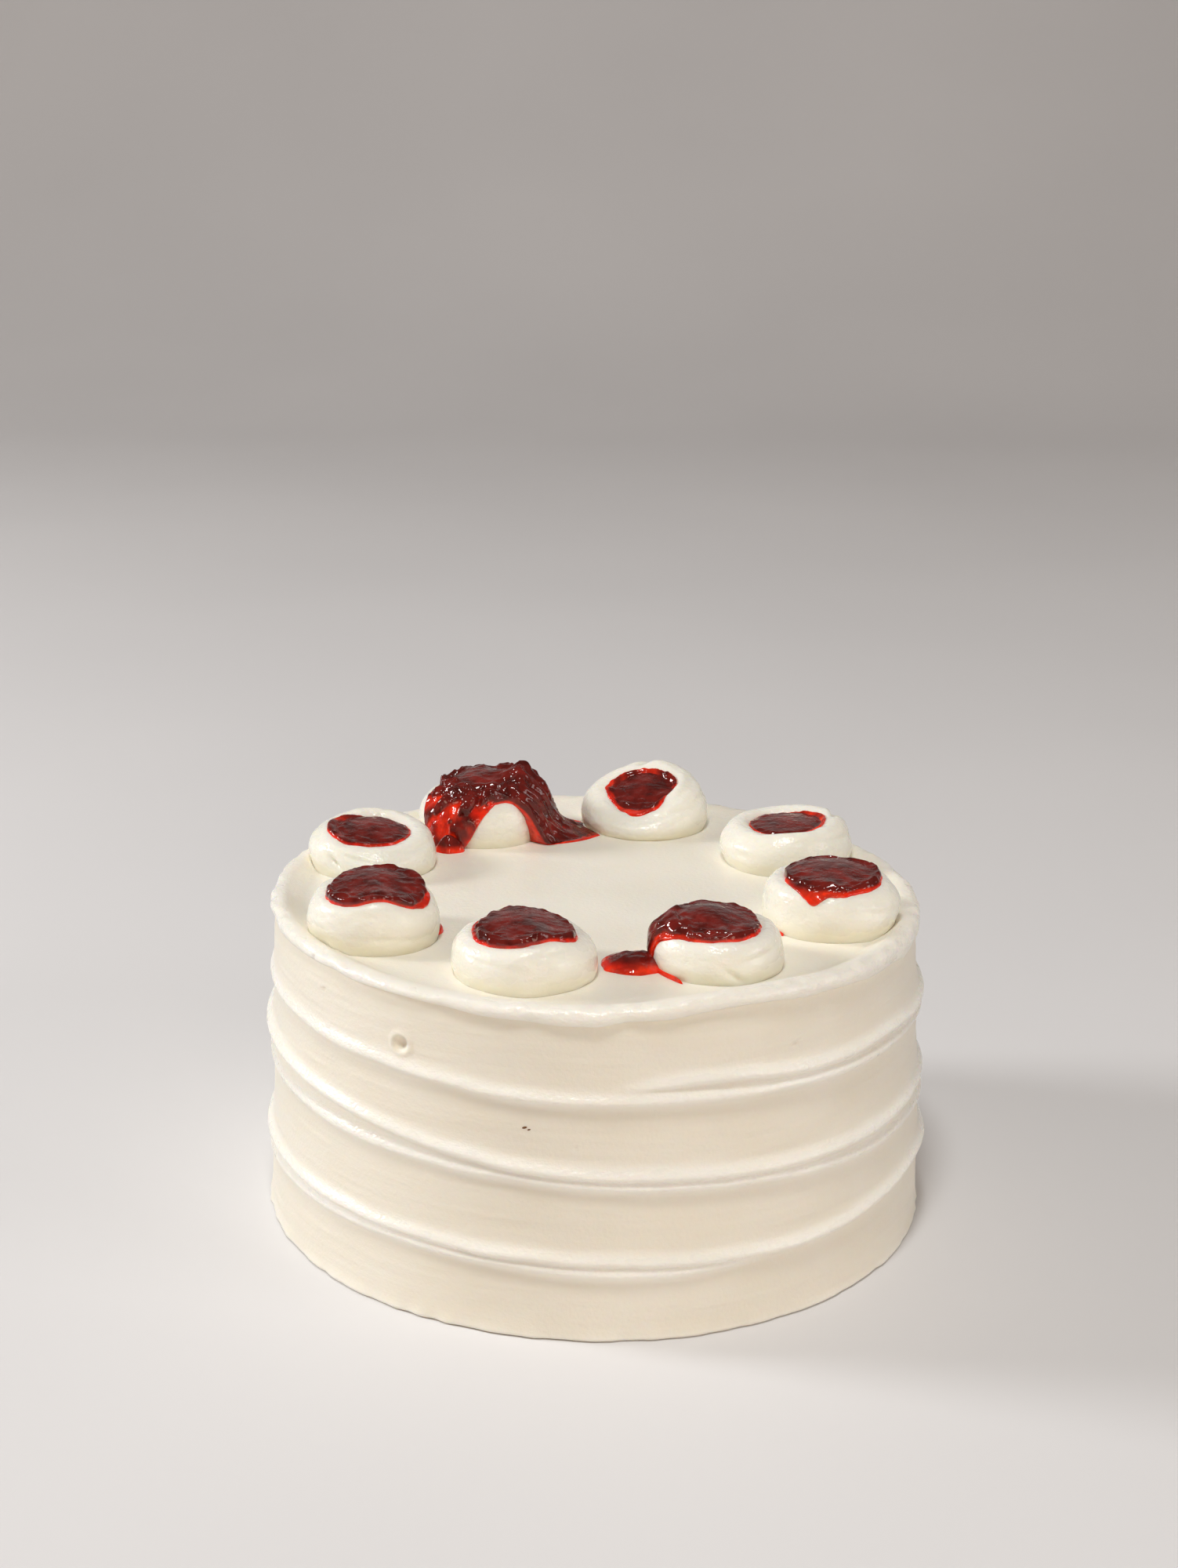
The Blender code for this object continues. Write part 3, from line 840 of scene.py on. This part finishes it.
# The jam: dark red, lumpy and wet. It fills each well, heaps a little over the rim and ends in a
# thin runny edge, where the cream behind makes it bright. One helping slid off and ran to the top.
# WELL_SHARE is how far out the well's flat floor goes under the jam, FILM is how thick the runny
# edge is, and SINK is how far the jam sits in the cream. THIN and DEEP are thicknesses at which it
# turns from bright to dark, and SMOOTH and LUMPY those at which its lumps start to show. Its edge
# is round over ROUND_DEGREES and heaps up over HEAP_DEGREES, and jam that slid off runs outwards
# from RUN_START of its way down.
WELL_SHARE = 0.20
FILM = 0.00042
SINK = 0.0002
THIN, DEEP = 0.00033, 0.00092
SMOOTH, LUMPY = 0.0006, 0.0018
LOWEST_EDGE = 132
ROUND_DEGREES = 3
HEAP_DEGREES = 7
RUN_START = 0.4
DARK_JAM = ((0.065, 0.004, 0.003, 1), (0.210, 0.014, 0.010, 1))
BRIGHT_JAM = ((0.80, 0.013, 0.004, 1), (1.0, 0.048, 0.010, 1))


def jam_limit(dollop, angles):
    """Angle over the rim where the jam ends: the smooth line, plus its drips and a ragged edge."""
    limit = around(dollop.jam_edge, angles)
    for turn, width, more in dollop.drips:
        off = (angles - turn + 180) % 360 - 180
        limit = np.maximum(limit, limit + more * np.exp(-((off / width) ** 2)))
    seed = int(1e4 * abs(dollop.centre[1]))
    ragged = 2.4 * mottle(angles / 9, 0 * angles, 40, seed)
    ragged = ragged + 0.7 * mottle(angles / 3, 0 * angles, 120, seed)
    return np.minimum(limit + ragged, LOWEST_EDGE)


def jam_seat(dollop, angles, share):
    """Points and directions on the cream under the jam, a share of the way from the well's middle.

    Past the widest part of the dollop the jam hangs straight down to the foot. The third result is
    the angle over the rim.
    """
    reach = np.clip((share - WELL_SHARE) / (1 - WELL_SHARE), 0, 1)
    over = WELL_ANGLE + (jam_limit(dollop, angles) - WELL_ANGLE) * reach
    points, normal = dollop_skin(dollop, angles, np.minimum(over, 90))
    floor = well_floor(dollop)
    points = floor + (points - floor) * np.clip(share / WELL_SHARE, 0, 1)[..., None]
    low = TOP_HEIGHT + lip_rise(points[..., :2])
    fall = np.clip((over - 90) / (BASE_ANGLE - 90), 0, 1)
    points[..., 2] += (low - points[..., 2]) * fall
    return points, normal, over


def keep_off(points, centre, radius):
    """Points moved sideways until they are radius away from the upright axis at centre."""
    apart = points[..., :2] - centre
    far = np.linalg.norm(apart, axis=-1, keepdims=True)
    plan = np.where(far < radius, centre + apart / far * radius, points[..., :2])
    return at_height(plan, points[..., 2])


def lump_height(plan, seed):
    """Fruit in the jam: lumps of two sizes, and creases where one lattice passes through zero."""
    x, y = plan[..., 0], plan[..., 1]
    big = mottle(x / 0.0034, y / 0.0030, 512, seed)
    small = mottle(x / 0.0015, y / 0.0013, 512, seed + 1)
    crease = 1 - np.abs(mottle(x / 0.0042, y / 0.0019, 512, seed + 2)) * 2.4
    return big + 0.65 * small + 0.5 * np.maximum(crease, 0)


def jam_skin(dollop, angles, share):
    """Points on the jam and how thin it is there, from 0 to 1.

    The jam is level over the well with its bumps, a heap past the rim, and a thin film with a
    round edge where it ends. Lumps show where it is thick.
    """
    seat, normal, over = jam_seat(dollop, angles, share)
    edge = jam_limit(dollop, angles)
    sideways = normal[..., :2] * ease(over, -15, 15)[..., None]
    way = at_height(sideways, np.maximum(normal[..., 2], 0.0))
    from_edge = edge - over
    patches = mottle(angles / 9 + share * 4, share * 9 + 0 * angles, 40, int(1e4 * dollop.radius))
    film = around(dollop.film, angles) * (1 + 0.5 * patches)
    slope = HEAP_DEGREES + 0.5 * np.maximum(film, 0)
    heap = np.sqrt(np.clip((from_edge - film) / slope, 0, 1))
    rounded = np.sqrt(np.clip(from_edge / ROUND_DEGREES, 0, 1))
    depth = FILM * rounded + dollop.jam_depth * heap
    points = seat + way * depth[..., None]
    out = np.linalg.norm(points[..., :2] - dollop.centre, axis=-1) / (dollop.radius * dollop.ring)
    crest = dollop.height * (1 + (around(dollop.crest, angles) - 1) * np.minimum(out, 1))
    level = TOP_HEIGHT + crest * dollop.jam_level + dollop.jam_depth
    lift = np.maximum(level - points[..., 2], 0)
    points[..., 2] += lift * (1 - ease(over, -20, 25)) * (1 - share**6)
    for x, y, width, height in dollop.bumps:
        off = (points[..., :2] - dollop.centre - (x, y)) / width
        bump = height * np.exp(-(off**2).sum(axis=-1))
        points[..., 2] += bump * (1 - ease(over, 50, 110)) * heap
    thick = np.linalg.norm(points - seat, axis=-1)
    if dollop.spread:
        reach = np.maximum(around(dollop.spread, angles), 0)
        run = np.clip((share - RUN_START) / (1 - RUN_START), 0, 1) ** 6
        points[..., :2] += direction(angles) * (reach * run)[..., None]
    for other in dollop.keeps_off:
        points = keep_off(points, DOLLOPS[other].centre, DOLLOPS[other].radius * 1.01)
    low = TOP_HEIGHT + lip_rise(points[..., :2]) + FILM * rounded
    points[..., 2] = np.maximum(points[..., 2], low)
    full = 0.3 + 0.7 * ease(thick, SMOOTH, LUMPY)
    seed = int(1e5 * abs(dollop.centre[0]))
    rough = dollop.lumps * lump_height(points[..., :2] + 0.3 * points[..., 2:], seed) * full
    rough = rough * ease(from_edge, 0, 8)
    points = points + way * rough[..., None]
    return points, 1 - ease(thick + 1.2 * rough, THIN, DEEP)


def jam_finish():
    """Wet jam: dark red where it is thick, and bright in patches where it is thin."""
    finish = Finish("wet_jam", {"Specular IOR Level": 0.45})
    thin = finish.attribute("thin")
    cloud = finish.noise((0.004, 0.004, 0.004), 3.0)
    dark = finish.mix(cloud.rise(0.35, 0.7), *DARK_JAM)
    bright = finish.mix(cloud.rise(0.3, 0.7), *BRIGHT_JAM)
    clear = 0.55 + 0.45 * finish.noise((0.0028, 0.0028, 0.0028)).rise(0.40, 0.56)
    colour = finish.mix(thin**1.3 * clear, dark, bright)
    relief = finish.bump(finish.noise((0.0024, 0.0024, 0.0024), 2.0), 0.00040)
    relief = finish.bump(finish.noise((0.0009, 0.0009, 0.0009)), 0.00004, relief)
    gloss = 0.06 + 0.08 * finish.noise((0.003, 0.003, 0.003)).rise(0.35, 0.65)
    return finish.show(Base_Color=colour, Roughness=gloss, Normal=relief)


wet_jam = jam_finish()
for place, dollop in DOLLOPS.items():
    angles = turn_angles(dollop.turn_steps)[None, :]
    below = np.linspace(WELL_SHARE, 1, 14)[:, None]
    above = 1 - (1 - WELL_SHARE * 0.2) * np.linspace(0, 1, dollop.jam_rows)[:, None] ** 1.25
    seat, normal, _ = jam_seat(dollop, angles, below)
    skin, thin = jam_skin(dollop, angles, above)
    rings = np.concatenate([seat - normal * SINK, skin])
    thin = np.concatenate([0 * seat[..., 0] + 1, thin])
    closed_skin(
        f"jam_in_{place}",
        well_floor(dollop) - (0, 0, SINK),
        rings,
        rings[-1].mean(axis=0),
        wet_jam,
        "jam",
        [f"jam_{place}"],
        thin=thin,
    )

# Jam on the flat top: a puddle and a spot that ran off the two front dollops, a clot, and the thin
# lines of juice that creep along the feet of others. Each lies in the cream like the jam above.
SPILL_STEPS = 96
UNDER_RINGS = 6
UPPER_RINGS = 26


@dataclass
class Spill:
    """A low blob of jam that keeps off the dollop beside it.

    reach is half its length and width, and turn is in degrees, anticlockwise from above. nodes are
    the solids that it stands for, if any.
    """

    middle: tuple
    reach: tuple
    height: float
    beside: str
    turn: float = 0
    nodes: tuple = ()


SPILLS = {
    "jam_spill": Spill(
        (0.0087, -0.0430), (0.0076, 0.0062), 0.0022, "front_right", 6, ("jam_spill",)
    ),
    "jam_spot": Spill((-0.0350, -0.0243), (0.0017, 0.0034), 0.0012, "front_left", 0, ("jam_spot",)),
    "jam_streak": Spill((0.0149, -0.0490), (0.0056, 0.0006), 0.0004, "front_right", -54),
    "jam_trickle": Spill((-0.0232, 0.0352), (0.0092, 0.0009), 0.0004, "back_left", 22),
    "jam_clot": Spill((-0.0352, 0.0300), (0.0036, 0.0028), 0.0034, "back_left"),
    "jam_thread": Spill((0.0400, -0.0225), (0.0025, 0.0006), 0.0003, "right", -62),
}


def turned_by(degrees):
    """The matrix that turns plan points anticlockwise when it stands on their right."""
    turn = np.radians(degrees)
    return np.array([[np.cos(turn), np.sin(turn)], [-np.sin(turn), np.cos(turn)]])


def spill_rings(spill):
    """Rings of a low blob, and how thin it is: its height is the reach's ellipse to the power of
    a half, so that its edge is round, with lumps in the middle.
    """
    angles = turn_angles(SPILL_STEPS)[None, :]
    under = np.linspace(0.3, 1, UNDER_RINGS)
    share = np.concatenate([under, np.linspace(1, 0.04, UPPER_RINGS) ** 0.8])[:, None]
    ragged = 1 + 0.05 * mottle(angles / 20, 0 * angles, 18, 21)
    oval = direction(angles) * spill.reach * (share * ragged)[..., None]
    plan = np.array(spill.middle) + oval @ turned_by(spill.turn)
    dollop = DOLLOPS[spill.beside]
    flat = keep_off(at_height(plan, TOP_HEIGHT), dollop.centre, dollop.radius * 0.93)
    flat[..., 2] += lip_rise(flat[..., :2])
    top = (np.arange(len(share)) >= UNDER_RINGS)[:, None]
    height = spill.height * (1 - share**2) + FILM * np.sqrt(np.clip((1 - share) / 0.12, 0, 1))
    lumps = 0.00025 * lump_height(flat[..., :2], 22) * ease(height, 0.0008, 0.0026)
    flat[..., 2] += np.where(top, height + lumps, -SINK)
    return flat, np.where(top, 1 - ease(height + 0 * angles, 0.0006, 0.0022), 1)


for name, spill in SPILLS.items():
    rings, thin = spill_rings(spill)
    low, high = rings[0].mean(axis=0), rings[-1].mean(axis=0)
    closed_skin(f"{name}_wet", low, rings, high, wet_jam, "jam", spill.nodes, thin=thin)

# Crumbs: three dark, dry crumbs of baked crust that the knife picked up and left in the cream of
# the side, as (angle, height, half their length).
CRUMB_SINK = 0.0001
CRUMBS = ((-10.8, 0.0470, 0.0006), (-10.1, 0.0466, 0.0004), (9.5, 0.0180, 0.0003))


def crumb_rings(angle, height, size):
    """Rings of a flattened, leaning ball that sits in the side: each is a level of its latitude,
    with the cosine as its radius and the sine as its height.
    """
    latitude = np.radians(np.linspace(-75, 75, 8))[:, None]
    around_it = np.radians(turn_angles(16))[None, :]
    turn = np.array([float(angle)])
    side, _ = side_radius(turn, np.array([height]))
    middle = at_height(direction(turn) * (side[:, None] - CRUMB_SINK), height)
    wide = size * np.stack(
        [
            np.cos(latitude) * np.cos(around_it),
            0.5 * np.cos(latitude) * np.sin(around_it),
            0.45 * np.sin(latitude) + 0.25 * np.cos(latitude) * np.cos(around_it),
        ],
        axis=-1,
    )
    return middle + wide


baked = {"Base Color": (0.16, 0.07, 0.02, 1), "Roughness": 0.8}
baked_crumb = Finish("baked_crumb", baked).material
for number, crumb in enumerate(CRUMBS):
    rings = crumb_rings(*crumb)
    low, high = rings[0].mean(axis=0), rings[-1].mean(axis=0)
    closed_skin(f"crumb_{number}", low, rings, high, baked_crumb, "cream")

# The stage: a plain pale floor, matt and faintly clouded, that sweeps up into a wall behind the
# cake without a corner.
FLOOR_HALF = 4.0
SWEEP_START = 1.1
SWEEP_RADIUS = 0.8


def sweep_points():
    """A grid: level to SWEEP_START, then a quarter circle up to a wall."""
    across = np.linspace(-FLOOR_HALF, FLOOR_HALF, 9)[None, :]
    turn = np.radians(np.linspace(0, 90, 24))
    depth = np.concatenate([[-FLOOR_HALF, 0], SWEEP_START + SWEEP_RADIUS * np.sin(turn)])
    depth = np.append(depth, SWEEP_START + SWEEP_RADIUS)[:, None]
    height = np.concatenate([[0, 0], SWEEP_RADIUS * (1 - np.cos(turn)), [FLOOR_HALF]])[:, None]
    return np.stack(np.broadcast_arrays(across, depth, height), axis=-1)


def stage_finish():
    finish = Finish("pale_floor", {"Roughness": 0.7})
    cloud = finish.noise((0.3, 0.3, 0.3))
    colour = finish.mix(cloud.rise(0.3, 0.7), (0.75, 0.75, 0.77, 1), (0.79, 0.79, 0.81, 1))
    return finish.show(Base_Color=colour)


grid = sweep_points()
rows, columns = grid.shape[:2]
index = np.arange(rows * columns).reshape(rows, columns)
faces = np.stack([index[:-1, :-1], index[:-1, 1:], index[1:, 1:], index[1:, :-1]], axis=-1)
floor_mesh = bpy.data.meshes.new("floor")
floor_mesh.from_pydata(grid.reshape(-1, 3).tolist(), [], faces.reshape(-1, 4).tolist())
floor_mesh.shade_smooth()
floor_mesh.materials.append(stage_finish())
floor = bpy.data.objects.new("floor", floor_mesh)
bpy.context.scene.collection.objects.link(floor)

# Soft studio light: a key low on the left, a steep light from overhead just in front of the cake
# that picks out the ridges, a weak broad one on the right, and a warm fill from the front. Each is
# a disc, as (name, place, size across in metres, watts, colour), and the world is dim and warm.
LIGHTS = (
    ("key", (-1.25, 0.16, 0.62), 0.35, 10.2, (1.0, 0.99, 0.98)),
    ("overhead", (-0.1, -0.48, 1.40), 0.30, 9.1, (1.0, 1.0, 0.97)),
    ("right", (1.4, -0.6, 0.6), 0.7, 4.8, (1.0, 0.96, 0.94)),
    ("fill", (0.2, -1.8, 0.40), 0.8, 5.8, (1.0, 0.78, 0.60)),
)
AIM = Vector((0, 0, 0.05))
WORLD_COLOUR = (1.0, 0.83, 0.68, 1)
WORLD_STRENGTH = 0.18
for name, place, size, power, colour in LIGHTS:
    lamp = bpy.data.lights.new(name, "AREA")
    lamp.shape = "DISK"
    lamp.size = size
    lamp.energy = power
    lamp.color = colour
    holder = bpy.data.objects.new(name, lamp)
    holder.location = place
    holder.rotation_euler = (AIM - Vector(place)).to_track_quat("-Z", "Y").to_euler()
    bpy.context.scene.collection.objects.link(holder)
world = bpy.data.worlds.new("studio")
world.use_nodes = True
world.node_tree.nodes["Background"].inputs["Color"].default_value = WORLD_COLOUR
world.node_tree.nodes["Background"].inputs["Strength"].default_value = WORLD_STRENGTH
bpy.context.scene.world = world
bpy.context.scene.view_settings.view_transform = "Standard"

# The camera stands where the photograph's did, half a metre in front and turned 17 degrees down.
# The focal length is in pixels of the photograph, whose long side is 2000.
EYE = (-0.001300, -0.523180, 0.259870)
PITCH = 17.2101
YAW = -0.0655
ROLL = 0.8617
FOCAL_PIXELS = 3100
LONG_SIDE_PIXELS = 2000

pitch, yaw, roll = np.radians([PITCH, YAW, ROLL])
forward = np.array([np.sin(yaw) * np.cos(pitch), np.cos(yaw) * np.cos(pitch), -np.sin(pitch)])
level = np.array([np.cos(yaw), -np.sin(yaw), 0.0])
upward = np.cross(level, forward)
right = level * np.cos(roll) + upward * np.sin(roll)
above = upward * np.cos(roll) - level * np.sin(roll)
lens = bpy.data.cameras.new("camera")
lens.sensor_width = 36.0
lens.lens = 36.0 * FOCAL_PIXELS / LONG_SIDE_PIXELS
lens.clip_start = 0.01
camera = bpy.data.objects.new("camera", lens)
turned = Matrix(np.column_stack([right, above, -forward]).tolist()).to_4x4()
camera.matrix_world = Matrix.Translation(EYE) @ turned
bpy.context.scene.collection.objects.link(camera)
bpy.context.scene.camera = camera
